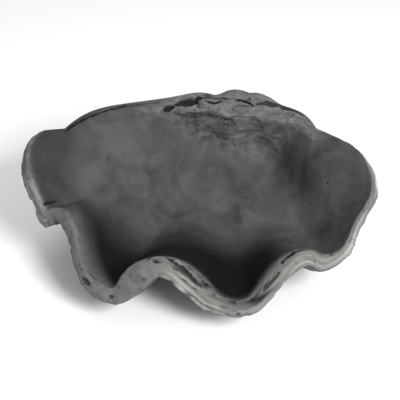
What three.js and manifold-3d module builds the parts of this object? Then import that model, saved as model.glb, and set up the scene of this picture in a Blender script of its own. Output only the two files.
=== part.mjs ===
// Giant clam half shell: one thick valve lying on its ribs, hollow side up.
// Millimetres, +Z up. The hinge runs along the back (+Y) and the wavy lip is at the front (-Y).
// The shell is grown the way a clam grows: the rim curve shrinks towards the beak while it turns
// about the hinge, so every rib is a spiral from the beak to the rim.
import * as THREE from 'three';
import { ParametricGeometry } from 'three/addons/geometries/ParametricGeometry.js';
import { mergeVertices } from 'three/addons/utils/BufferGeometryUtils.js';
import Module from 'manifold-3d';

// Outer edge of the rim, from the left end of the hinge round the front to the right end:
// x, y, z, fold (0 in the valley of a rib, 1 on the crest between ribs), lip thickness.
const RIM = [
  [-239, 128, 181, 0.5, 5],
  [-266, 108, 189, 0.7, 10],
  [-291, 78, 186, 0.6, 23],
  [-302, 35, 162, 0.4, 33],
  [-285, -18, 139, 0.2, 26],
  [-254, -64, 112, 0.0, 22],
  [-233, -70, 130, 0.8, 34],
  [-214, -100, 116, 0.6, 20],
  [-196, -152, 84, 0.3, 16],
  [-180, -172, 70, 0.1, 21],
  [-158, -187, 61, 0.0, 23],
  [-131, -194, 57, 0.0, 24],
  [-100, -190, 74, 0.4, 41],
  [-64, -183, 105, 1.0, 41],
  [-18, -198, 77, 0.5, 40],
  [8, -208, 60, 0.2, 33],
  [52, -218, 54, 0.0, 23],
  [92, -211, 60, 0.1, 26],
  [114, -199, 80, 0.5, 31],
  [163, -172, 118, 1.0, 36],
  [198, -160, 98, 0.0, 24],
  [239, -128, 105, 0.2, 16],
  [261, -84, 128, 0.8, 14],
  [295, -22, 142, 0.3, 15],
  [295, 30, 155, 0.2, 19],
  [276, 78, 164, 0.4, 15],
  [245, 112, 169, 0.5, 8],
  [209, 138, 175, 0.5, 5],
];
const BEAK = new THREE.Vector3(62, 186, 192);
const LEFTWARDS = new THREE.Vector3(-1, 0, 0);

// Growth: size of the smallest ring, and how far the rim turns while it shrinks e-fold.
const SMALLEST_RING = 0.03;
const COIL_MIDDLE = 1.0;
const COIL_LEFT = 1.19;
const COIL_RIGHT = 1.98;
const COIL_LEFT_REACH = 320;
const COIL_RIGHT_REACH = 230;
const COIL_EVENS_FROM = 0.7;
const COIL_EVENS_OVER = 1.6;
const HINGE_SHARE = 0.45;
const CURVE_DIVISIONS = 1500;

// Wall: thickness deep inside, extra fill under the ribs, and how soon both are reached.
const WALL = 34;
const RIB_FILL = 35;
const WALL_FROM_LIP = 0.38;
const WALL_TAPERS_TO_HINGE = 0.06;
const LIP_ROUNDING = [[0.2, 0.08], [0.5, 0.12], [0.8, 0.08]];
const LIP_SHARPENS_OVER = 4;

// Smoothing along the rim, as shares of its length: of the wall's direction and of the inner face,
// at the lip and deeper inside, with the share of the way to the beak where the second is reached.
const DIRECTION_SMOOTHING = { lip: 0.012, inside: 0.06, by: 0.3 };
const LIP_SMOOTHING = 0.014;
const INSIDE_SMOOTHING = 0.045;
const INSIDE_SMOOTH_BY = 0.35;

// Hinge plate: the flat shelf in front of the hinge line, sloping down to the front.
const PLATE_WIDTH = 46;
const PLATE_NARROWS = 0.6;
const PLATE_REACH = 240;
const PLATE_SLOPE = THREE.MathUtils.degToRad(17);
const PLATE_EDGE = 0.6;
const PLATE_SMOOTHING = 0.02;
const PLATE_SMOOTH_BY = 0.2;
const ANGLE_WRAPS_AT = -1.2;

// Hinge line: how far it bows up and back on each side of the beak, at the beak itself, and over
// the sockets to the left of the beak.
const BOW_LEFT = 36;
const BOW_RIGHT = 28;
const BOW_SOFT_MIDDLE = 30;
const BOW_FLATNESS = 4;
const BOW_BEAK = 16;
const BOW_BEAK_SPAN = 50;
const BOW_SOCKETS = 8.5;
const BOW_SOCKETS_AT = 62;
const BOW_SOCKETS_SPAN = 38;
const BOW_UP = 0.55;
const BOW_BACK = 0.8;
const BOW_FADE = 95;
const BOW_FADE_POWER = 1.6;

// Umbo: the swollen back of the shell behind the beak.
const UMBO_RISE = 10;
const UMBO_AT = 104;
const UMBO_LEFT = 46;
const UMBO_RIGHT = 70;
const UMBO_DEPTH = 17;
const UMBO_WAY = new THREE.Vector3(0, 0.5, 0.86);

// Worn flats under the ribs, where the shell stands.
const FOOT_CUT = 4.5;
const CUTTER = 800;

// Facets: columns along the rim, rings on each face of the wall.
const COLUMNS = 84;
const RINGS = 21;

const ease = (x) => THREE.MathUtils.smoothstep(x, 0, 1);

// The rim in equal steps, with its fold and lip thickness.
const rimCurve = new THREE.CatmullRomCurve3(RIM.map(([x, y, z]) => new THREE.Vector3(x, y, z)));
const traitCurve = new THREE.CatmullRomCurve3(
  RIM.map(([, , , fold, lip]) => new THREE.Vector3(fold, lip, 0)), false, 'catmullrom');
rimCurve.arcLengthDivisions = CURVE_DIVISIONS;
const leftEnd = rimCurve.getPoint(0).sub(BEAK);
const rightEnd = rimCurve.getPoint(1).sub(BEAK);
const leftAxis = leftEnd.clone().normalize();
const rightAxis = rightEnd.clone().negate().normalize();
const rings = Array.from({ length: RINGS + 1 }, (_, j) => {
  const s = j / RINGS;
  const growth = -Math.log(SMALLEST_RING) * (0.5 * s + 0.5 * s * s);
  return { s, growth, size: Math.exp(-growth) };
});

const columns = Array.from({ length: COLUMNS + 1 }, (_, i) => {
  const u = i / COLUMNS;
  const t = rimCurve.getUtoTmapping(u);
  const reach = rimCurve.getPoint(t).sub(BEAK);
  const traits = traitCurve.getPoint(t);
  const left = 1 - ease(u / HINGE_SHARE);
  const right = 1 - ease((1 - u) / HINGE_SHARE);
  const axis = leftAxis.clone().multiplyScalar(left)
    .addScaledVector(rightAxis, right)
    .addScaledVector(LEFTWARDS, 1 - left - right)
    .normalize();
  const coil = COIL_MIDDLE
    + (COIL_LEFT - COIL_MIDDLE) * ease(-reach.x / COIL_LEFT_REACH)
    + (COIL_RIGHT - COIL_MIDDLE) * ease(reach.x / COIL_RIGHT_REACH);
  return { u, reach, axis, coil, fold: THREE.MathUtils.clamp(traits.x, 0, 1), lip: traits.y };
});

// Outer face: rings that shrink and turn about the hinge.
const outer = columns.map(({ reach, axis, coil }) => rings.map(({ growth, size }, j) => {
  if (j === RINGS) return BEAK.clone();
  const even = ease((growth - COIL_EVENS_FROM) / COIL_EVENS_OVER);
  const turn = growth * (coil * (1 - even) + COIL_MIDDLE * even);
  return reach.clone().applyAxisAngle(axis, -turn).multiplyScalar(size).add(BEAK);
}));

// Spread a grid along the rim with a bell curve whose width may change from ring to ring.
function spread(grid, widths) {
  return grid.map((column, i) => column.map((point, j) => {
    const width = Math.max(widths[j] * COLUMNS, 1e-3);
    const sum = new THREE.Vector3();
    let total = 0;
    for (let k = 0; k <= COLUMNS; k++) {
      const weight = Math.exp(-0.5 * ((i - k) / width) ** 2);
      sum.addScaledVector(grid[k][j], weight);
      total += weight;
    }
    const held = ease(Math.min(i, COLUMNS - i) / (2 * width));
    return point.clone().lerp(sum.divideScalar(total), held);
  }));
}

const clampIndex = (k, last) => THREE.MathUtils.clamp(k, 0, last);
const rawNormals = outer.map((column, i) => column.map((_, j) => {
  const along = outer[clampIndex(i + 1, COLUMNS)][j].clone().sub(outer[clampIndex(i - 1, COLUMNS)][j]);
  const inward = column[clampIndex(j + 1, RINGS)].clone().sub(column[clampIndex(j - 1, RINGS)]);
  return inward.cross(along).normalize();
}));
const facing = Math.sign(rawNormals[COLUMNS / 2][2].z);
const directionWidths = rings.map(({ s }) => Math.max(
  DIRECTION_SMOOTHING.lip, DIRECTION_SMOOTHING.inside * ease(s / DIRECTION_SMOOTHING.by)));
const normals = spread(rawNormals, directionWidths);

// Inner face: the outer one moved in by the wall, then smoothed so that the folds fade inwards.
const offset = outer.map((column, i) => column.map((point, j) => {
  const { u, reach, axis, fold, lip } = columns[i];
  const { s, size } = rings[j];
  const arm = point.clone().sub(BEAK);
  const fromHinge = arm.addScaledVector(axis, -arm.dot(axis)).length();
  const deep = ease(s / WALL_FROM_LIP);
  const wall = lip * (1 - deep) + WALL * deep + RIB_FILL * size * (1 - fold) * deep;
  const nearHinge = 1 - Math.exp(-fromHinge / wall);
  const nearEnd = ease(Math.min(u, 1 - u) / WALL_TAPERS_TO_HINGE);
  const normal = normals[i][j].clone().normalize().multiplyScalar(facing);
  return point.clone().addScaledVector(normal, wall * nearHinge * nearEnd);
}));
const insideWidths = rings.map(({ s }) => LIP_SMOOTHING + INSIDE_SMOOTHING * ease(s / INSIDE_SMOOTH_BY));
const smoothed = spread(offset, insideWidths);

// The inner face stops at the hinge plate's front edge, and its top is the plate.
const forwards = new THREE.Vector3(0, -Math.cos(PLATE_SLOPE), -Math.sin(PLATE_SLOPE));
const stopped = smoothed.map((column, i) => column.map((point, j) => {
  if (i === 0 || i === COLUMNS || j === RINGS) return outer[i][j].clone();
  const { axis } = columns[i];
  const ahead = forwards.clone().addScaledVector(axis, -forwards.dot(axis)).normalize();
  const below = ahead.clone().cross(axis);
  const arm = point.clone().sub(BEAK);
  const along = arm.dot(axis);
  const reach = Math.hypot(arm.dot(ahead), arm.dot(below));
  let angle = Math.atan2(arm.dot(below), arm.dot(ahead));
  if (angle < ANGLE_WRAPS_AT) angle += 2 * Math.PI;
  const plate = PLATE_WIDTH * (1 - PLATE_NARROWS * ease(Math.abs(along) / PLATE_REACH));
  const limit = Math.acos(Math.min(1, plate / Math.max(reach, 1e-6)));
  const blend = THREE.MathUtils.clamp(0.5 + (0.5 * (limit - angle)) / PLATE_EDGE, 0, 1);
  const held = THREE.MathUtils.lerp(limit, angle, blend) - PLATE_EDGE * blend * (1 - blend);
  return BEAK.clone()
    .addScaledVector(axis, along)
    .addScaledVector(ahead, reach * Math.cos(held))
    .addScaledVector(below, reach * Math.sin(held));
}));
const inner = spread(stopped, rings.map(({ s }) => PLATE_SMOOTHING * ease(s / PLATE_SMOOTH_BY)));

// Bow the hinge line up and back, and carry the wall near it along.
function bow(point, axis) {
  const arm = point.clone().sub(BEAK);
  const along = arm.dot(axis);
  const away = arm.addScaledVector(axis, -along).length();
  const length = (along > 0 ? leftEnd : rightEnd).length();
  const softened = Math.hypot(along, BOW_SOFT_MIDDLE) - BOW_SOFT_MIDDLE;
  const share = Math.min(1, softened / (length - BOW_SOFT_MIDDLE));
  const height = (along > 0 ? BOW_LEFT : BOW_RIGHT) * (1 - (2 * share - 1) ** BOW_FLATNESS)
    + BOW_BEAK * Math.exp(-((along / BOW_BEAK_SPAN) ** 2))
    + BOW_SOCKETS * Math.exp(-(((along - BOW_SOCKETS_AT) / BOW_SOCKETS_SPAN) ** 2));
  const held = height * Math.exp(-((away / BOW_FADE) ** BOW_FADE_POWER));
  return point.add(new THREE.Vector3(0, BOW_BACK * held, BOW_UP * held));
}

// How far the umbo swells at a point of the outer face.
function swelling(point, axis) {
  const arm = point.clone().sub(BEAK);
  const away = arm.addScaledVector(axis, -arm.dot(axis)).length() / UMBO_DEPTH;
  const beyond = (point.x - UMBO_AT) / (point.x < UMBO_AT ? UMBO_LEFT : UMBO_RIGHT);
  return UMBO_RISE * away * Math.exp(1 - away - beyond * beyond);
}
outer.forEach((column, i) => column.forEach((point) => {
  const swell = swelling(point, columns[i].axis);
  bow(point, columns[i].axis).addScaledVector(UMBO_WAY, swell);
}));
inner.forEach((column, i) => column.forEach((point) => bow(point, columns[i].axis)));

// One closed skin: from the beak down the outer face, round the lip, and back up the inner face.
const skin = outer.map((column, i) => {
  const face = inner[i][0].clone().sub(column[0]);
  const outwards = column[0].clone().sub(column[1]).normalize();
  const bulge = face.length() * ease(Math.min(i, COLUMNS - i) / LIP_SHARPENS_OVER);
  const lip = LIP_ROUNDING.map(([across, out]) => column[0].clone()
    .addScaledVector(face, across).addScaledVector(outwards, out * bulge));
  return [...column].reverse().concat(lip, inner[i]);
});
const stacks = skin[0].length - 1;
const sheet = new ParametricGeometry(
  (u, v, target) => target.copy(skin[Math.round(u * COLUMNS)][Math.round(v * stacks)]), COLUMNS, stacks);
sheet.deleteAttribute('normal');
sheet.deleteAttribute('uv');
const closed = mergeVertices(sheet, 1e-3);

// Drop the empty facets at the beak and along the hinge, and face the rest outwards.
const corners = [];
const index = closed.index.array;
const place = closed.attributes.position;
const vertex = (k) => new THREE.Vector3().fromBufferAttribute(place, k);
let volume = 0;
for (let k = 0; k < index.length; k += 3) {
  const [a, b, c] = [index[k], index[k + 1], index[k + 2]];
  if (a === b || b === c || c === a) continue;
  corners.push([a, b, c]);
  volume += vertex(a).dot(vertex(b).cross(vertex(c))) / 6;
}
const facets = new Uint32Array(corners.flatMap(([a, b, c]) => (volume > 0 ? [a, b, c] : [a, c, b])));

// Grind the standing flats under the ribs.
const wasm = await Module();
wasm.setup();
function solidOf(vertProperties, triVerts) {
  return new wasm.Manifold(new wasm.Mesh({ numProp: 3, vertProperties, triVerts }));
}
const block = new THREE.BoxGeometry(CUTTER, CUTTER, CUTTER);
block.deleteAttribute('normal');
block.deleteAttribute('uv');
block.translate(0, 0, FOOT_CUT - CUTTER / 2);
const cutter = mergeVertices(block);
const valve = solidOf(new Float32Array(place.array), facets)
  .subtract(solidOf(new Float32Array(cutter.attributes.position.array), new Uint32Array(cutter.index.array)))
  .getMesh();

// Origin on the floor under the middle of the shell.
const geometry = new THREE.BufferGeometry();
geometry.setAttribute('position', new THREE.BufferAttribute(new Float32Array(valve.vertProperties), 3));
geometry.setIndex(new THREE.BufferAttribute(new Uint32Array(valve.triVerts), 1));
geometry.computeBoundingBox();
const box = geometry.boundingBox;
geometry.translate(-(box.min.x + box.max.x) / 2, -(box.min.y + box.max.y) / 2, -box.min.z);
geometry.computeVertexNormals();

const charcoal = new THREE.MeshStandardMaterial({ color: '#5c5c5b', roughness: 0.8, metalness: 0 });
const shell = new THREE.Mesh(geometry, charcoal);
shell.name = 'shell';
const halfShell = new THREE.Group();
halfShell.add(shell);

export default halfShell;
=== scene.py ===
import math

import bpy
import numpy as np
from mathutils import Matrix, Vector


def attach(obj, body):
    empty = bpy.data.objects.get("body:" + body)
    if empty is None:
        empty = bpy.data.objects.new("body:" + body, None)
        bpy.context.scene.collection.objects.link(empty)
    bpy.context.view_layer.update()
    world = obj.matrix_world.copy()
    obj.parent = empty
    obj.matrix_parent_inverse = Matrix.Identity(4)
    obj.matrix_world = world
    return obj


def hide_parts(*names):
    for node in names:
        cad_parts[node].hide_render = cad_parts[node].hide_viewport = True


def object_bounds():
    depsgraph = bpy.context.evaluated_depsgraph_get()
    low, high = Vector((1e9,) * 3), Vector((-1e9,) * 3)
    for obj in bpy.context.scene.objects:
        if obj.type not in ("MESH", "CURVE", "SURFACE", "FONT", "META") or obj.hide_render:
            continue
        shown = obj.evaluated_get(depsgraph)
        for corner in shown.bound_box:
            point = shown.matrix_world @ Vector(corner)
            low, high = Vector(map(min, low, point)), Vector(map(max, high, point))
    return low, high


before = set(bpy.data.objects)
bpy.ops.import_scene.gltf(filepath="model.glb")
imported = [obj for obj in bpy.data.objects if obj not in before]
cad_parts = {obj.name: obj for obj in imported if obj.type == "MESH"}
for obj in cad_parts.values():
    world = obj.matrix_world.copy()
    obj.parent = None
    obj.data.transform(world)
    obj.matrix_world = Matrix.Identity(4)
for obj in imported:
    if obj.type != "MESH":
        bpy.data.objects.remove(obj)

cad_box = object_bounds()

# ------------------------------------------------------------------------------------------
# The half shell: one valve of a giant clam, a single thick wall of layered aragonite, lying on
# its ribs, hollow side up. It grew from the beak outwards, so each ring of the mesh is a smaller,
# turned copy of the rim. Shape and relief are in millimetres.

# Outer edge of the rim, from the left end of the hinge round the front to the right end:
# x, y, z, fold (0 in the valley of a rib, 1 on the crest between ribs), lip thickness. The
# places were worked out with a separate measuring script and then adjusted, as report.md says.
RIM = [
    (-239, 128, 181, 0.5, 5), (-266, 108, 189, 0.7, 10), (-291, 78, 186, 0.6, 23),
    (-302, 35, 162, 0.4, 33), (-285, -18, 139, 0.2, 26), (-254, -64, 112, 0.0, 22),
    (-233, -70, 130, 0.8, 34), (-214, -100, 116, 0.6, 20), (-196, -152, 84, 0.3, 16),
    (-180, -172, 70, 0.1, 21), (-158, -187, 61, 0.0, 23), (-131, -194, 57, 0.0, 24),
    (-100, -190, 74, 0.4, 41), (-64, -183, 105, 1.0, 41), (-18, -198, 77, 0.5, 40),
    (8, -208, 60, 0.2, 33), (52, -218, 54, 0.0, 23), (92, -211, 60, 0.1, 26),
    (114, -199, 80, 0.5, 31), (163, -172, 118, 1.0, 36), (198, -160, 98, 0.0, 24),
    (239, -128, 105, 0.2, 16), (261, -84, 128, 0.8, 14), (295, -22, 142, 0.3, 15),
    (295, 30, 155, 0.2, 19), (276, 78, 164, 0.4, 15), (245, 112, 169, 0.5, 8),
    (209, 138, 175, 0.5, 5)]
BEAK = np.array([62.0, 186.0, 192.0])
SMALLEST_RING = 0.03
FOOT_CUT = 4.5           # the ribs are worn flat by this much where they stand
COLUMNS = 560
WALL_ROWS = 210
LIP_ROWS = 18
CURVE_STEPS = 1500


def ease(x):
    """0 below 0, 1 above 1, and a smooth step between."""
    x = np.clip(x, 0.0, 1.0)
    return x * x * (3 - 2 * x)


def fade(value, none, full):
    """How far a value has come on the way from none, 0, to full, 1."""
    return ease((value - none) / (full - none))


def unit(v):
    return v / np.maximum(np.linalg.norm(v, axis=-1, keepdims=True), 1e-9)


def dot(a, b):
    return np.sum(a * b, axis=-1, keepdims=True)


def smooth_line(points, steps):
    """A smooth curve through the points, cut into equal steps, and its running length."""
    p = np.array(points, float)
    knot = np.r_[0, np.cumsum(np.linalg.norm(np.diff(p[:, :3], axis=0), axis=1) ** 0.5)]
    slope = np.gradient(p, knot, axis=0)
    t = np.linspace(0, knot[-1], CURVE_STEPS)
    i = np.clip(np.searchsorted(knot, t, "right") - 1, 0, len(p) - 2)
    span = (knot[i + 1] - knot[i])[:, None]
    s = (t - knot[i])[:, None] / span
    fine = ((1 + 2 * s) * (1 - s) ** 2 * p[i] + s * (1 - s) ** 2 * span * slope[i]
            + s * s * (3 - 2 * s) * p[i + 1] - s * s * (1 - s) * span * slope[i + 1])
    run = np.r_[0, np.cumsum(np.linalg.norm(np.diff(fine[:, :3], axis=0), axis=1))]
    at = np.linspace(0, run[-1], steps + 1)
    return np.stack([np.interp(at, run, column) for column in fine.T], 1), at


def spread(grid, widths):
    """Bell-curve average along the rim, with a width (a share of the rim) for each ring."""
    out = grid.copy()
    place = np.arange(len(grid))
    for ring, width in enumerate(widths * (len(grid) - 1)):
        if width < 0.3:
            continue
        weight = np.exp(-0.5 * ((place[:, None] - place[None]) / width) ** 2)
        weight /= weight.sum(1, keepdims=True)
        held = ease(np.minimum(place, len(grid) - 1 - place) / (2 * width))[:, None]
        out[:, ring] = grid[:, ring] * (1 - held) + (weight @ grid[:, ring]) * held
    return out


# How far along the rim the hinge's direction holds, from either end.
HINGE_SHARE = 0.45
rim, along_rim = smooth_line(RIM, COLUMNS)
fold = np.clip(rim[:, 3], 0, 1)
lip_size = rim[:, 4]
share = np.linspace(0, 1, COLUMNS + 1)
from_end = np.minimum(share, 1 - share)
reach = rim[:, :3] - BEAK
left = (1 - ease(share / HINGE_SHARE))[:, None]
right = (1 - ease((1 - share) / HINGE_SHARE))[:, None]
axis = unit(reach[0]) * left - unit(reach[-1]) * right + np.array([-1.0, 0, 0]) * (1 - left - right)
axis = unit(axis)[:, None]

# Outer face: the rim, shrunk towards the beak and turned about the hinge, ring by ring. The
# coil is tighter at both ends, and evens out after the first part of the way to the beak.
ROWS_CROWD = 1.2
COIL_LEFT = 0.19
COIL_LEFT_REACH = 320
COIL_RIGHT = 0.98
COIL_RIGHT_REACH = 230
COIL_EVENS_FROM = 0.7
COIL_EVENS_OVER = 1.6
near_beak = np.linspace(0, 1, WALL_ROWS + 1) ** ROWS_CROWD
growth = -math.log(SMALLEST_RING) * (0.5 * near_beak + 0.5 * near_beak ** 2)
ring_size = np.exp(-growth)
to_right = reach[:, 0]
coil = 1.0 + COIL_LEFT * ease(-to_right / COIL_LEFT_REACH) + COIL_RIGHT * ease(to_right / COIL_RIGHT_REACH)
coil_evens = ease((growth - COIL_EVENS_FROM) / COIL_EVENS_OVER)
turn = (growth * (coil[:, None] * (1 - coil_evens) + coil_evens))[..., None]
arm = np.repeat(reach[:, None], len(growth), 1)
turned = (arm * np.cos(turn) - np.cross(axis, arm) * np.sin(turn)
          + axis * dot(axis, arm) * (1 - np.cos(turn)))
outer = BEAK + ring_size[:, None] * turned

# The oldest folds, nearest the beak, are worn away.
WORN_FOLDS = 0.06
WORN_FROM = 0.5
WORN_OVER = 0.3
outer = spread(outer, WORN_FOLDS * ease((near_beak - WORN_FROM) / WORN_OVER))

# Inner face: the outer one moved in by the wall, then smoothed so that the folds fade inwards.
# Smoothing widths are shares of the rim, and BY is the share of the way to the beak where the
# inside's width is reached.
WALL = 34
RIB_FILL = 35
WALL_FROM_LIP = 0.38
WALL_TAPERS_TO_HINGE = 0.06
DIRECTION_SMOOTHING = {"lip": 0.012, "inside": 0.06, "by": 0.3}
WALL_SMOOTHING = {"lip": 0.014, "inside": 0.045, "by": 0.35}
normal = unit(np.cross(np.gradient(outer, axis=0), np.gradient(outer, axis=1)))
normal *= np.sign(normal[COLUMNS // 2, 3, 2])
direction_width = DIRECTION_SMOOTHING["inside"] * ease(near_beak / DIRECTION_SMOOTHING["by"])
normal = unit(spread(normal, np.maximum(DIRECTION_SMOOTHING["lip"], direction_width)))
arm = outer - BEAK
from_hinge = np.linalg.norm(arm - dot(arm, axis) * axis, axis=-1)
deep = ease(near_beak / WALL_FROM_LIP)
wall = lip_size[:, None] * (1 - deep) + deep * (WALL + RIB_FILL * ring_size * (1 - fold[:, None]))
wall = wall * (1 - np.exp(-from_hinge / wall)) * ease(from_end / WALL_TAPERS_TO_HINGE)[:, None]
wall_width = WALL_SMOOTHING["lip"] + WALL_SMOOTHING["inside"] * ease(near_beak / WALL_SMOOTHING["by"])
inner = spread(outer + normal * wall[..., None], wall_width)

# The hinge plate is a shelf in front of the hinge line that slopes down to the front.
PLATE_WIDTH = 46
PLATE_NARROWS = 0.6
PLATE_REACH = 240
PLATE_SLOPE = math.radians(17)
PLATE_EDGE = 0.3
PLATE_SMOOTHING = 0.006
PLATE_SMOOTH_BY = 0.2
ANGLE_WRAPS_AT = -1.2
forwards = np.array([0, -math.cos(PLATE_SLOPE), -math.sin(PLATE_SLOPE)])
ahead = unit(forwards - dot(forwards, axis) * axis)
below = np.cross(ahead, axis)
arm = inner - BEAK
side = dot(arm, axis)
far = np.hypot(dot(arm, ahead), dot(arm, below))
angle = np.arctan2(dot(arm, below), dot(arm, ahead))
angle = np.where(angle < ANGLE_WRAPS_AT, angle + 2 * math.pi, angle)
plate = PLATE_WIDTH * (1 - PLATE_NARROWS * ease(np.abs(side) / PLATE_REACH))
limit = np.arccos(np.clip(plate / np.maximum(far, 1e-6), 0, 1))
blend = np.clip(0.5 + 0.5 * (limit - angle) / PLATE_EDGE, 0, 1)
held = limit * (1 - blend) + angle * blend - PLATE_EDGE * blend * (1 - blend)
on_plate = (1 - blend)[..., 0]
inner = BEAK + side * axis + far * (np.cos(held) * ahead + np.sin(held) * below)
inner = spread(inner, PLATE_SMOOTHING * ease(near_beak / PLATE_SMOOTH_BY))
inner[[0, -1]] = outer[[0, -1]]


# The hinge line bows up and back: on each side of the beak, at the beak, and over the sockets.
BOW_LEFT = 36
BOW_RIGHT = 28
BOW_SOFT_MIDDLE = 30
BOW_BEAK = 16
BOW_BEAK_SPAN = 50
BOW_SOCKETS = 8.5
BOW_SOCKETS_AT = 62
BOW_SOCKETS_SPAN = 38
BOW_WAY = np.array([0, 0.8, 0.55])
BOW_FADE = 95


def bowed(points):
    """The bow of the hinge line, which carries the wall near it along."""
    arm = points - BEAK
    side = dot(arm, axis)
    away = np.linalg.norm(arm - side * axis, axis=-1, keepdims=True)
    length = np.where(side > 0, np.linalg.norm(reach[0]), np.linalg.norm(reach[-1]))
    part = (np.hypot(side, BOW_SOFT_MIDDLE) - BOW_SOFT_MIDDLE) / (length - BOW_SOFT_MIDDLE)
    rise = np.where(side > 0, BOW_LEFT, BOW_RIGHT) * (1 - (2 * np.clip(part, 0, 1) - 1) ** 4)
    rise = rise + BOW_BEAK * np.exp(-(side / BOW_BEAK_SPAN) ** 2)
    rise = rise + BOW_SOCKETS * np.exp(-((side - BOW_SOCKETS_AT) / BOW_SOCKETS_SPAN) ** 2)
    return points + rise * np.exp(-(away / BOW_FADE) ** 1.6) * BOW_WAY


# The umbo: the swollen back of the shell behind the beak.
UMBO_RISE = 12.5
UMBO_AT = 105
UMBO_LEFT = 46
UMBO_RIGHT = 80
UMBO_DEPTH = 17
UMBO_WAY = np.array([0, 0.5, 0.86])
swell = (from_hinge / UMBO_DEPTH) * np.exp(1 - from_hinge / UMBO_DEPTH)
beyond = outer[..., 0] - UMBO_AT
swell = swell * np.exp(-(beyond / np.where(beyond < 0, UMBO_LEFT, UMBO_RIGHT)) ** 2)
outer = bowed(outer) + UMBO_RISE * swell[..., None] * UMBO_WAY
inner = bowed(inner)
outer[:, -1] = inner[:, -1] = bowed(BEAK[None, None])[COLUMNS // 2]

# Lip: a rounded edge face between the two, which sharpens towards the ends of the hinge.
LIP_BULGE = 0.12
LIP_SHARPENS_OVER = 0.05
LIP_ROUNDNESS = 0.7
face = inner[:, 0] - outer[:, 0]
outwards = unit(outer[:, 0] - outer[:, 2])
across = np.linspace(0, 1, LIP_ROWS + 1)[1:-1]
bulge = LIP_BULGE * np.linalg.norm(face, axis=-1) * ease(from_end / LIP_SHARPENS_OVER)
lip = (outer[:, :1] + face[:, None] * across[:, None]
       + (outwards * bulge[:, None])[:, None] * (np.sin(math.pi * across) ** LIP_ROUNDNESS)[:, None])

# One closed skin: from the beak down the outer face, round the lip and back up the inner face.
skin = np.concatenate([outer[:, ::-1], lip, inner], 1)
rows = skin.shape[1] - 1


# Relief. Growth lines follow the rim, so besides its place in space each point has a place
# along the rim and a distance across the lip: behind the lip's outer edge it is below zero.
GROWTH_REACH = 400
LIP_EDGE_SOFT = 7


def over_skin(wall_value):
    """Values for the wall's rings, laid out over the whole skin: outside, lip and inside."""
    on_the_edge = np.repeat(wall_value[:, :1], LIP_ROWS - 1, 1)
    return np.concatenate([wall_value[:, ::-1], on_the_edge, wall_value], 1)


back = GROWTH_REACH * (1 - ring_size)
lip_width = np.linalg.norm(face, axis=-1)[:, None]
across_mm = np.concatenate([np.repeat(-back[None, ::-1], COLUMNS + 1, 0), lip_width * across,
                            lip_width + back], 1)
along_mm = np.repeat(along_rim[:, None], rows + 1, 1)
ribbon = np.stack([along_mm, across_mm], -1)
thickness = over_skin(np.linalg.norm(inner - outer, axis=-1))
hinge_gap = over_skin(from_hinge)
row_place = np.arange(rows + 1)
is_outer = (row_place <= WALL_ROWS)[None]
is_inner = (row_place >= WALL_ROWS + LIP_ROWS)[None]
on_lip = ease(1 + across_mm / LIP_EDGE_SOFT) * ease(1 - (across_mm - lip_width) / (2 * LIP_EDGE_SOFT))
on_lip = on_lip * ease(thickness / 8)
on_plate = np.concatenate([np.zeros((COLUMNS + 1, WALL_ROWS + LIP_ROWS)), on_plate], 1)
normal = unit(np.cross(np.gradient(skin, axis=0), np.gradient(skin, axis=1)))
middle = (COLUMNS // 2, WALL_ROWS - 20)
normal *= np.sign(np.sum(normal[middle] * (outer[COLUMNS // 2, 20] - inner[COLUMNS // 2, 20])))


SCATTER_BY_AXIS = np.array([73856093, 19349663, 83492791])
SCATTER_ROUNDS = ((13, 1274126177), (16, 60493))
LARGEST = 0x7FFFFFFF


def scatter(cell):
    """A fixed random number from 0 to 1 for each whole-numbered cell."""
    n = (cell * SCATTER_BY_AXIS[:cell.shape[-1]]).sum(-1) & LARGEST
    for stride, mixer in SCATTER_ROUNDS:
        n = ((n >> stride) ^ n) * mixer & LARGEST
    return n / LARGEST


def rough(p, grain, shift=0):
    """Smooth random relief from -1 to 1, with bumps about one grain across."""
    q = p / grain + 17.3 * shift
    cell = np.floor(q).astype(np.int64)
    blend = ease(q - cell)
    total = 0
    for corner in np.ndindex(*(2,) * p.shape[-1]):
        share_of_corner = np.prod(np.where(corner, blend, 1 - blend), axis=-1)
        total = total + share_of_corner * (2 * scatter(cell + np.array(corner)) - 1)
    return total


def seams(p, grain, width):
    """Thin wandering lines, 1 along the line and 0 beside it. The width is a share of the grain."""
    return ease(1 - np.abs(rough(p, grain, 5)) / width)


def pits(p, spacing, widest):
    """Round hollows of many sizes, 1 at the middle and 0 outside, one to a cell."""
    q = p / spacing
    home = np.floor(q).astype(np.int64)
    deepest = np.zeros(p.shape[:-1])
    for step in np.ndindex(3, 3, 3):
        cell = home + np.array(step) - 1
        middle = cell + 0.2 + 0.6 * np.stack([scatter(cell + 101 * (k + 1)) for k in range(3)], -1)
        radius = 0.5 * widest / spacing * scatter(cell + 977) ** 2
        far = np.linalg.norm(q - middle, axis=-1)
        deepest = np.maximum(deepest, ease(1 - far / np.maximum(radius, 1e-6)))
    return deepest


# Outside: overlapping growth steps, faint riblets, wear and borings. In all these sums the
# height in front of rough() and the grain inside it are in millimetres.
STEP_SPACING = 13
STEP_HEIGHT = 3.2
STEPS_FROM_SIZE = 0.05
STEPS_GROW_OVER = 0.15
STEPS_CLEAR_HINGE = 45
RIBLET_SPACING = 8
count = -across_mm / STEP_SPACING + 0.6 * rough(ribbon, 90) + 0.14 * rough(ribbon * [1, 0.2], 9)
step_shape = (1 - (count - np.floor(count))) ** 1.4 - 0.4
step_strength = 0.25 + 0.75 * scatter(np.floor(count)[..., None].astype(np.int64))
size_here = np.exp(-np.interp(np.abs(np.minimum(across_mm, 0)), back, growth))
step_size = np.minimum(1, np.linalg.norm(reach, axis=-1) / GROWTH_REACH)[:, None] * size_here ** 0.4
step_size = step_size * ease((size_here - STEPS_FROM_SIZE) / STEPS_GROW_OVER)
step_size = step_size * ease(hinge_gap / STEPS_CLEAR_HINGE)
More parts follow.
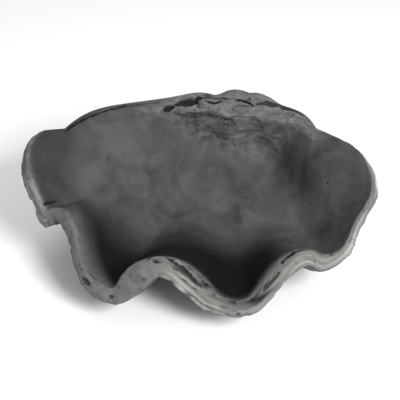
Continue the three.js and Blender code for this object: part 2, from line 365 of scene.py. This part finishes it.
wear = 0.5 + 0.5 * rough(skin, 60)
rib_top = 1 + 0.5 * (1 - fold[:, None])
steps_up = STEP_HEIGHT * step_shape * step_strength * step_size * rib_top * (0.45 + 0.55 * wear)
riblets = 0.5 * rough(ribbon * [1, 0.06], RIBLET_SPACING) * size_here
borings = pits(skin, spacing=17, widest=9)
outside = steps_up + riblets + 1.3 * rough(skin, 42) + 0.5 * rough(skin, 13) - 2.2 * borings

# Lip: layers and splits along the rim, plainest on the left, and chips, most at the far left.
LAYER_SPACING = 3.4
swept = ribbon + np.stack([0 * along_mm, 6 * rough(ribbon * [1, 0.3], 60)], -1)
layers = rough(swept * [0.06, 1], LAYER_SPACING)
broad_layers = rough(swept * [0.09, 1], 2.8 * LAYER_SPACING, 1)
parted = ease(0.3 + 1.4 * rough(ribbon, 48, 2))
splits = seams(swept * [0.05, 1], 10, 0.13) * parted
splits = np.maximum(splits, seams(swept * [0.12, 1], 6, 0.12) * (1 - parted) * 0.6)
rightwards = skin[..., 0]
battered = fade(rightwards, -120, -240)
layered = 0.22 + 0.78 * fade(rightwards, -75, -20)
small_chips = pits(skin, spacing=12, widest=10) * (0.35 + 0.65 * battered)
large_chips = 0.8 * pits(skin + 40, spacing=19, widest=16)
far_left_chips = pits(skin + 80, spacing=9, widest=9) * fade(rightwards, -240, -270)
chips = np.maximum(np.maximum(small_chips, large_chips), far_left_chips)
on_the_lip = (layered * (0.3 * layers + 0.9 * broad_layers - 1.8 * splits) + 1.4 * rough(skin, 19)
              + 0.8 * rough(skin, 7) - 2.6 * chips)

# Inside: smooth, with slow swells, the faint line where the mantle was held, and the muscle scar.
MANTLE_LINE = 95
MANTLE_STEP = 1.2
MANTLE_SOFT = 14
MUSCLE_SCAR = np.array([118, 0, 40])
MUSCLE_RADIUS = 52
MUSCLE_OVAL = [1, 1.25, 0.5]
MUSCLE_DEPTH = 1.4
MUSCLE_EDGE = 7
to_line = across_mm - lip_width - MANTLE_LINE + 12 * rough(ribbon * [1, 0], 120)
mantle = MANTLE_STEP * ease(0.5 + to_line / MANTLE_SOFT)
from_scar = np.linalg.norm((skin - MUSCLE_SCAR) * MUSCLE_OVAL, axis=-1) + 5 * rough(skin, 30)
scar = -MUSCLE_DEPTH * ease((MUSCLE_RADIUS - from_scar) / MUSCLE_EDGE)
old_pits = pits(skin, spacing=26, widest=7)
inside = mantle + scar + 1.1 * rough(skin, 60) + 0.35 * rough(skin, 17) - 1.6 * old_pits

# Furrows in the hinge plate and the lip: width, depth, and the way that each runs. A depth
# below zero is a ridge. Part of the points are the output of a separate measuring script that
# placed them on this skin, as report.md says.
FURROWS = [
    (3.6, 5.5, [(-236, 98, 190), (-218, 118, 198), (-197, 132, 202), (-176, 143, 203), (-150, 157, 205),
                (-128, 170, 206)]),                                                           # ligament
    (2.2, 2.5, [(-150, 157, 205), (-107, 172, 206), (-71, 181, 205)]),
    (9.0, -3.5, [(-205, 118, 196), (-160, 138, 200), (-110, 156, 202), (-72, 166, 201)]),
    (5.5, 10.0, [(-64, 163, 197), (-55, 170, 200), (-47, 177, 202)]),                         # sockets
    (8.5, 16.0, [(-48, 176, 202), (-36, 179, 203), (-24, 181, 203), (-12, 184, 204), (-3, 187, 205)]),
    (4.2, 9.0, [(-10, 188, 206), (-3, 192, 206), (4, 196, 207)]),
    (4.0, -2.5, [(-46, 170, 200), (-27, 172, 200), (-6, 180, 202), (14, 181, 202)]),
    (2.4, 5.0, [(8, 187, 204), (18, 184, 202), (28, 185, 201), (40, 191, 202)]),              # creases
    (2.0, 3.5, [(-2, 193, 206), (15, 195, 206), (29, 194, 204), (42, 198, 203)]),
    (2.6, 6.0, [(38, 198, 203), (54, 199, 202), (68, 196, 200), (84, 189, 200), (96, 178, 198)]),
    (2.0, 3.0, [(91, 203, 205), (87, 190, 202)]),
    (7.0, 4.0, [(98, 184, 199), (134, 183, 197), (165, 174, 193), (192, 160, 188)]),
    (8.0, -4.5, [(60, 168, 197), (97, 171, 197), (134, 170, 195), (162, 166, 192), (188, 152, 187),
                 (208, 134, 176)]),
    (5.0, 2.5, [(-53, 160, 193), (-26, 163, 185), (0, 164, 186), (27, 160, 191), (60, 155, 187)]),
    (1.8, 7.0, [(2, -190, 104), (8, -192, 99), (19, -190, 91), (26, -189, 83), (34, -191, 77),
                (43, -201, 76), (56, -210, 73)]),                                             # cracks
    (1.8, 7.0, [(125, -177, 121), (129, -170, 128), (136, -166, 132), (143, -161, 135), (157, -154, 137),
                (172, -147, 132), (188, -145, 127)]),
    (2.4, 4.5, [(-60, -160, 129), (-37, -175, 125), (-22, -182, 117), (-11, -189, 107), (0, -193, 97)]),
    (2.8, 3.5, [(-45, -177, 122), (-22, -185, 113), (-7, -192, 102), (14, -196, 92)]),
    (2.4, 4.0, [(96, -200, 88), (112, -190, 104), (124, -182, 115)]),
    (2.2, 4.0, [(-258, -42, 141), (-250, -34, 140), (-245, -31, 138), (-236, -20, 136)]),
    (2.8, 4.0, [(-87, -158, 123), (-80, -160, 124), (-74, -161, 124)]),                       # holes
    (2.4, 4.0, [(-74, -168, 126), (-69, -170, 126), (-64, -171, 125)]),
    (2.2, 3.5, [(-143, -188, 71), (-139, -190, 70), (-136, -191, 69)]),
    (2.4, 3.5, [(-181, -152, 79), (-174, -160, 76), (-168, -163, 73)])]
FURROW_STEPS = 80
FURROW_REACH = 14        # how far above or below the surface a furrow's path may run
OUT_OF_REACH = 9
FURROW_BRIM = 1.4        # where a furrow's side starts, and how far it slopes, in widths
FURROW_SIDE = 0.6
DIRT_AND_SHADE_BY_DEPTH = 6
# Each furrow also darkens the colour along its core, dirt and painted shade, the more the deeper it is.
furrows = np.zeros(skin.shape[:2])
cut = np.zeros(skin.shape[:2])
for width, depth, path in FURROWS:
    line = smooth_line(path, FURROW_STEPS)[0]
    margin = 2 * width + FURROW_REACH
    near = np.all((skin > line.min(0) - margin) & (skin < line.max(0) + margin), -1) & ~is_outer
    here = skin[near]
    gap = here[:, None] - line
    above = np.sum(gap * normal[near][:, None], -1, keepdims=True)
    gap = np.linalg.norm(gap - above * normal[near][:, None], axis=-1)
    gap = gap + OUT_OF_REACH * (np.abs(above[..., 0]) > FURROW_REACH)
    taper = np.sqrt(1 - np.abs(2 * gap.argmin(1) / FURROW_STEPS - 1) ** 3)
    gap = gap.min(1) + 0.45 * width * rough(here, 2.2 * width) + 0.3 * width * rough(here, width)
    furrow = ease((FURROW_BRIM * width * taper - gap) / (FURROW_SIDE * width))
    furrows[near] += depth * furrow
    cut[near] = np.maximum(cut[near], ease(1.5 * furrow) * (depth > 0) * min(1, depth / DIRT_AND_SHADE_BY_DEPTH))

# All the relief together. Where the wall is thin, it fades, and it never goes through.
RELIEF_NEEDS_WALL = 10
DEEPEST_SHARE = 0.45
wrinkles = seams(skin * [0.16, 1, 1], 9, 0.16) * ease(0.5 + rough(skin, 30, 4))
hinge_rough = 1.2 * rough(skin, 18) + 1.0 * rough(skin * [0.3, 1, 1], 7) - 2.0 * wrinkles
relief = np.where(is_outer, outside, np.where(is_inner, inside, 0))
relief = relief * (1 - on_lip) + on_the_lip * on_lip
relief = relief * (1 - on_plate) + (hinge_rough * on_plate - 1.4 * borings) * on_plate - furrows
relief = np.maximum(relief * ease(thickness / RELIEF_NEEDS_WALL), -DEEPEST_SHARE * thickness)

# The outer edge of the lip is ragged: fine teeth, and gaps where more has broken away.
TEETH_REACH = 5
TEETH_NEED_LIP = 14
teeth = 2.2 * rough(along_rim[:, None], 9) + 1.5 * rough(along_rim[:, None], 4.2)
teeth *= 0.75 + 0.5 * rough(along_rim[:, None], 50, 1)
teeth -= 4.0 * ease((rough(along_rim[:, None], 15, 3) - 0.45) / 0.3)
teeth *= ease(lip_width[:, 0] / TEETH_NEED_LIP)
ragged = np.exp(-(across_mm / TEETH_REACH) ** 2)
placed = skin + normal * relief[..., None] + outwards[:, None] * (ragged * teeth[:, None])[..., None]

# What the finish needs to know at each point, from 0 to 1. The hollow gets painted shade, darkest
# behind the front of the lip, from the left flank to the middle of the right one, and so does the
# inner part of the lip on the right. The lip is paler in the middle and towards both ends of the
# hinge, partly its own pale patches and partly painted highlight on the flanks that face the light.
# The dark in pits, grooves, chips and under the growth steps is dirt and painted shade.
inwards = across_mm - lip_width
backwards = skin[..., 1]
inner_side = np.repeat(1.0 * is_inner, COLUMNS + 1, 0)
# Painted shade: the hollow darkened towards black behind the front of the lip and on the left wing, and
# the inner part of the lip on the right.
front = fade(rightwards, -230, -190) * fade(rightwards, 165, 105) * fade(backwards, 40, -90)
clear_edge = 8 * fade(rightwards, -120, -170)
deep_painted_shade = ease((inwards + 5 - clear_edge) / (26 + 2 * clear_edge))
deep_painted_shade = deep_painted_shade * (1 - 0.5 * fade(inwards, 90, 240))
left_painted_shade = 0.5 * fade(rightwards, -180, -240) * fade(inwards, 0, 12)
inner_edge_shade = fade(across_mm / lip_width, 0.45, 1.05) * fade(rightwards, -60, 0)
painted_shade = np.maximum(np.maximum(deep_painted_shade * front, left_painted_shade) * is_inner, 0.5 * inner_edge_shade * on_lip)
near_lip = 0.35 * fade(inwards, 22, 0)
near_lip += 0.25 * fade(inwards, 60, 0) * fade(rightwards, -90, -140) * fade(backwards, -60, -110)
near_lip *= is_inner * fade(thickness, 0, 12)
# Paler lip: partly its own pale patches, partly painted highlight on the flanks that face the light.
pale_and_lit = np.exp(-((rightwards + 15) / 40) ** 2) + fade(rightwards, 115, 165)
pale_and_lit = pale_and_lit + 0.7 * fade(rightwards, -240, -270)
patchy = ease(0.55 + 0.9 * rough(ribbon * [1, 2], 45, 7))
# Dirt and painted shade: pits, furrows, chips, splits, wrinkles and the undersides of the growth steps are
# darkened.
pitted = 0.9 * np.where(is_outer, borings, old_pits)
below_steps = 0.7 * np.where(is_outer, ease(-steps_up / 0.9), 0)
dirt_and_shade = [1.2 * cut, pitted, 1.1 * on_lip * chips, on_lip * layered * splits, 0.7 * on_plate * wrinkles]
dirt_and_shade = np.maximum(np.maximum.reduce(dirt_and_shade), below_steps)
worn = np.where(is_outer, ease(steps_up / 1.6), 0) + on_lip * layered * ease(0.7 * broad_layers)
marks = {
    "lip": np.maximum(on_lip, near_lip),
    "inside": inner_side,
    "plate": on_plate,
    "painted_shade": painted_shade,
    "layered": np.where(is_outer, 0.8, layered * on_lip),
    "pale": on_lip * pale_and_lit * (1 - inner_edge_shade) * patchy,
    "hollow": np.clip(dirt_and_shade, 0, 1),
    "worn": np.clip(worn, 0, 1)}

# The mesh: a flat grid with a vertex for each place on the skin, moved there and sewn shut. The
# distances along and across the rim become a UV map, so that the growth lines can follow it.
DOUBLES_WITHIN = 0.05
MM = 0.001
bpy.ops.object.select_all(action='DESELECT')
bpy.ops.mesh.primitive_grid_add(x_subdivisions=COLUMNS, y_subdivisions=rows, size=1)
shell = bpy.context.object
shell.name = shell.data.name = "half_shell"
flat = np.empty((len(shell.data.vertices), 3), np.float32)
shell.data.vertices.foreach_get("co", flat.ravel())
column = np.rint((flat[:, 0] + 0.5) * COLUMNS).astype(int)
row = np.rint((flat[:, 1] + 0.5) * rows).astype(int)
shell.data.vertices.foreach_set("co", (placed[column, row] * MM).astype(np.float32).ravel())
for name, values in marks.items():
    mark = shell.data.attributes.new(name, 'FLOAT', 'POINT')
    mark.data.foreach_set("value", values[column, row].astype(np.float32))
corner = np.empty(len(shell.data.loops), np.int32)
shell.data.loops.foreach_get("vertex_index", corner)
growth_map = shell.data.uv_layers[0]
growth_map.name = "growth"
growth_map.data.foreach_set("uv", (ribbon[column[corner], row[corner]] * MM).astype(np.float32).ravel())
shell.data.update()

bpy.ops.object.mode_set(mode='EDIT')
bpy.ops.mesh.select_all(action='SELECT')
bpy.ops.mesh.remove_doubles(threshold=DOUBLES_WITHIN * MM)
bpy.ops.mesh.dissolve_degenerate(threshold=1e-6)
bpy.ops.mesh.select_all(action='SELECT')
bpy.ops.mesh.normals_make_consistent(inside=False)
bpy.ops.mesh.select_all(action='SELECT')
bpy.ops.mesh.bisect(plane_co=(0, 0, FOOT_CUT * MM), plane_no=(0, 0, 1), use_fill=True, clear_inner=True)
bpy.ops.object.mode_set(mode='OBJECT')

# Where the relief is fine the mesh stays fine, and the smooth inside takes larger faces.
MOST_TRIANGLES = 196000
thin_out = shell.modifiers.new("thin_out", 'DECIMATE')
thin_out.ratio = MOST_TRIANGLES / (2 * COLUMNS * rows)
bpy.ops.object.modifier_apply(modifier="thin_out")
bpy.ops.object.shade_smooth()

# The plain shape's middle goes over the middle of the solid that it stands for.
standing = skin[skin[..., 2] > FOOT_CUT]
shift = (np.array(cad_box[0]) + np.array(cad_box[1])) / 2 - (standing.min(0) + standing.max(0)) / 2 * MM
shift[2] = cad_box[0][2] - FOOT_CUT * MM
shell.data.transform(Matrix.Translation(shift))

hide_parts("shell")
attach(shell, "root")


def paint(colour):
    """An sRGB hex colour as the linear numbers that shaders take."""
    channels = [int(colour[k:k + 2], 16) / 255 for k in (1, 3, 5)]
    return [c / 12.92 if c <= 0.04045 else ((c + 0.055) / 1.055) ** 2.4 for c in channels] + [1.0]


# Weathered aragonite, stained charcoal: chalky and matt, with a duller, darker hollow and painted
# shade behind the front of the lip, a lip worn pale along its layers in part and given painted
# highlight on the flanks that face the light, and dirt and painted shade in the pits, grooves and
# steps.
finish = bpy.data.materials.new("weathered_aragonite")
finish.use_nodes = True
tree = finish.node_tree
shader = tree.nodes["Principled BSDF"]


def add(kind, inputs, out=0, **settings):
    """Adds a node with its settings, and puts a number, a colour or another output on each input."""
    node = tree.nodes.new("ShaderNode" + kind)
    for name, value in settings.items():
        setattr(node, name, value)
    for name, value in inputs.items():
        if isinstance(value, bpy.types.NodeSocket):
            tree.links.new(value, node.inputs[name])
        else:
            node.inputs[name].default_value = paint(value) if isinstance(value, str) else value
    return node.outputs[out]


here = add("TexCoord", {}, out="Object")
growth_place = add("UVMap", {}, uv_map="growth")
mark = {name: add("Attribute", {}, out="Fac", attribute_name=name) for name in marks}

# Patterns, each with the size of its grain: clouds and swirls of stain, blotches, growth layers
# along the rim, the shell's own grain, and specks of dirt and painted shade in worm holes.
clouds = add("TexNoise", {"Vector": here, "Scale": 1 / (60 * MM), "Detail": 4.0, "Roughness": 0.6})
cloudy = add("MapRange", {"Value": clouds, "From Min": 0.36, "From Max": 0.66})
blotches = add("TexNoise", {"Vector": here, "Scale": 1 / (13 * MM), "Detail": 5.0, "Roughness": 0.65})
blotchy = add("MapRange", {"Value": blotches, "From Min": 0.38, "From Max": 0.64})
swirls = add("TexNoise", {"Vector": here, "Scale": 1 / (50 * MM), "Detail": 5.0, "Roughness": 0.6,
                          "Distortion": 0.7})
swirled = add("MapRange", {"Value": swirls, "From Min": 0.36, "From Max": 0.66})
along_layers = add("VectorMath", {0: growth_place, 1: (1 / (90 * MM), 1 / (4.5 * MM), 0.0)},
                   operation='MULTIPLY')
streaks = add("TexNoise", {"Vector": along_layers, "Scale": 1.0, "Detail": 4.0, "Roughness": 0.6,
                           "Distortion": 0.3})
streaky = add("MapRange", {"Value": streaks, "From Min": 0.34, "From Max": 0.66})
grain = add("TexNoise", {"Vector": here, "Scale": 1 / (2.2 * MM), "Detail": 3.0, "Roughness": 0.7})
grainy = add("MapRange", {"Value": grain, "From Min": 0.3, "From Max": 0.7})
jitter = add("TexNoise", {"Vector": here, "Scale": 1 / (4 * MM), "Detail": 1.0}, out="Color")
jittered = add("VectorMath", {0: jitter, 1: (4 * MM, 4 * MM, 4 * MM), 2: here}, operation='MULTIPLY_ADD')
speck_gap = add("TexVoronoi", {"Vector": jittered, "Scale": 1 / (14 * MM)})
speck_kind = add("TexVoronoi", {"Vector": jittered, "Scale": 1 / (14 * MM)}, out="Color")
speck_pick = add("SeparateColor", {"Color": speck_kind}, out="Red")
speck_size = add("MapRange", {"Value": speck_pick, "From Min": 0.62, "From Max": 1.0, "To Max": 0.22})
specks = add("MapRange", {"Value": speck_gap, "From Min": speck_size, "From Max": 0.0, "To Max": 2.0})

# Colour: the outside, the inside and the plate, each between two greys, then the lip over them.
outside_low = add("MixRGB", {"Fac": cloudy, "Color1": "#474746", "Color2": "#5e5d5c"})
outside_high = add("MixRGB", {"Fac": cloudy, "Color1": "#565554", "Color2": "#747371"})
outside_colour = add("MixRGB", {"Fac": streaky, "Color1": outside_low, "Color2": outside_high})
inside_low = add("MixRGB", {"Fac": cloudy, "Color1": "#333333", "Color2": "#434342"})
inside_colour = add("MixRGB", {"Fac": swirled, "Color1": inside_low, "Color2": "#4e4d4c"})
plate_low = add("MixRGB", {"Fac": cloudy, "Color1": "#434342", "Color2": "#555453"})
plate_colour = add("MixRGB", {"Fac": blotchy, "Color1": plate_low, "Color2": "#6b6a68"})
lip_low = add("MixRGB", {"Fac": cloudy, "Color1": "#464544", "Color2": "#555453"})
lip_plain = add("MixRGB", {"Fac": blotchy, "Color1": lip_low, "Color2": "#626160"})
lip_streak = add("Math", {0: mark["layered"], 1: streaky}, operation='MULTIPLY')
lip_streaked = add("MixRGB", {"Fac": lip_streak, "Color1": lip_plain, "Color2": "#73726f"})
# Pale streaks on the lip: partly its own tone, partly painted highlight on the flanks that face the light.
lip_pale = add("MixRGB", {"Fac": streaky, "Color1": lip_streaked, "Color2": "#a09e9a"})
lip_colour = add("MixRGB", {"Fac": mark["pale"], "Color1": lip_streaked, "Color2": lip_pale})
colour = add("MixRGB", {"Fac": mark["inside"], "Color1": outside_colour, "Color2": inside_colour})
colour = add("MixRGB", {"Fac": mark["plate"], "Color1": colour, "Color2": plate_colour})
colour = add("MixRGB", {"Fac": mark["lip"], "Color1": colour, "Color2": lip_colour})
# Painted shade, near black, over the hollow behind the front of the lip, on the left wing and on the inner
# part of the lip on the right.
colour = add("MixRGB", {"Fac": mark["painted_shade"], "Color1": colour, "Color2": "#070707"})
scuff = add("Math", {0: mark["worn"], 1: grainy}, operation='MULTIPLY')
scuff = add("Math", {0: scuff, 1: 0.35}, operation='MULTIPLY')
colour = add("MixRGB", {"Fac": scuff, "Color1": colour, "Color2": "#a9a7a3"})
# Specks darkened with dirt and painted shade.
speck_dirt_and_shade = add("Math", {0: specks, 1: 0.75}, operation='MULTIPLY', use_clamp=True)
colour = add("MixRGB", {"Fac": speck_dirt_and_shade, "Color1": colour, "Color2": "#1d1d1d"})
# Dirt and painted shade, near black, in pits, furrows, chips, splits, wrinkles and under the growth steps.
pit_dirt_and_shade = add("Math", {0: mark["hollow"], 1: 0.96}, operation='MULTIPLY')
colour = add("MixRGB", {"Fac": pit_dirt_and_shade, "Color1": colour, "Color2": "#080808"})
tree.links.new(colour, shader.inputs["Base Color"])

dull = add("MapRange", {"Value": blotches, "From Min": 0.38, "From Max": 0.64,
                        "To Min": 0.68, "To Max": 0.82})
tree.links.new(dull, shader.inputs["Roughness"])
shader.inputs["IOR"].default_value = 1.53
shader.inputs["Specular IOR Level"].default_value = 0.15

# Fine height: grain and blotches everywhere, growth lines where the layers show, and specks sunk.
layer_height = add("Math", {0: mark["layered"], 1: streaks}, operation='MULTIPLY')
height = add("Math", {0: grain, 1: 0.4, 2: layer_height}, operation='MULTIPLY_ADD')
height = add("Math", {0: blotches, 1: 0.9, 2: height}, operation='MULTIPLY_ADD')
height = add("Math", {0: specks, 1: -0.8, 2: height}, operation='MULTIPLY_ADD')
relief_bump = add("Bump", {"Height": height, "Strength": 0.8, "Distance": 1.1 * MM})
tree.links.new(relief_bump, shader.inputs["Normal"])
shell.data.materials.append(finish)

# ------------------------------------------------------------------------------------------
# The studio: a pale matt floor, a soft sky of white light, a large key light high on the
# right of the front, and the camera looking down on the shell from the front.
FLOOR_SIZE = 12
SKY_LIGHT = 0.5
LAMPS = {"key": ((1.2, -1.7, 1.7), 0.9, 85), "top": ((-0.5, 0.7, 2.2), 1.0, 14)}    # place, size, watts
LAMPS_AIM = Vector((0, 0, 0.1))
CAMERA_DISTANCE = 1.69
CAMERA_HEIGHT_ANGLE = math.radians(36)
CAMERA_AIM = 0.12
bpy.ops.object.select_all(action='DESELECT')
bpy.ops.mesh.primitive_plane_add(size=FLOOR_SIZE)
ground = bpy.context.object
ground.name = "studio_floor"
floor_paint = bpy.data.materials.new("matt_white_paint")
floor_paint.use_nodes = True
floor_paint.node_tree.nodes["Principled BSDF"].inputs["Base Color"].default_value = paint("#f4f4f4")
floor_paint.node_tree.nodes["Principled BSDF"].inputs["Roughness"].default_value = 0.9
ground.data.materials.append(floor_paint)

world = bpy.data.worlds.new("studio")
bpy.context.scene.world = world
world.use_nodes = True
world.node_tree.nodes["Background"].inputs["Color"].default_value = (1, 1, 1, 1)
world.node_tree.nodes["Background"].inputs["Strength"].default_value = SKY_LIGHT
for name, (place, size, watts) in LAMPS.items():
    bpy.ops.object.light_add(type='AREA', location=place)
    lamp = bpy.context.object
    lamp.name = name
    lamp.data.size = size
    lamp.data.energy = watts
    lamp.rotation_euler = (LAMPS_AIM - Vector(place)).to_track_quat('-Z', 'Y').to_euler()

back_way = Vector((0, -math.cos(CAMERA_HEIGHT_ANGLE), math.sin(CAMERA_HEIGHT_ANGLE)))
aim = Vector(shift) + Vector((0, 0, CAMERA_AIM))
bpy.ops.object.camera_add(location=aim + CAMERA_DISTANCE * back_way)
camera = bpy.context.object
camera.data.lens = 90
camera.data.sensor_width = 36
camera.rotation_euler = back_way.to_track_quat('Z', 'Y').to_euler()
bpy.context.scene.camera = camera
bpy.context.scene.view_settings.view_transform = 'Standard'
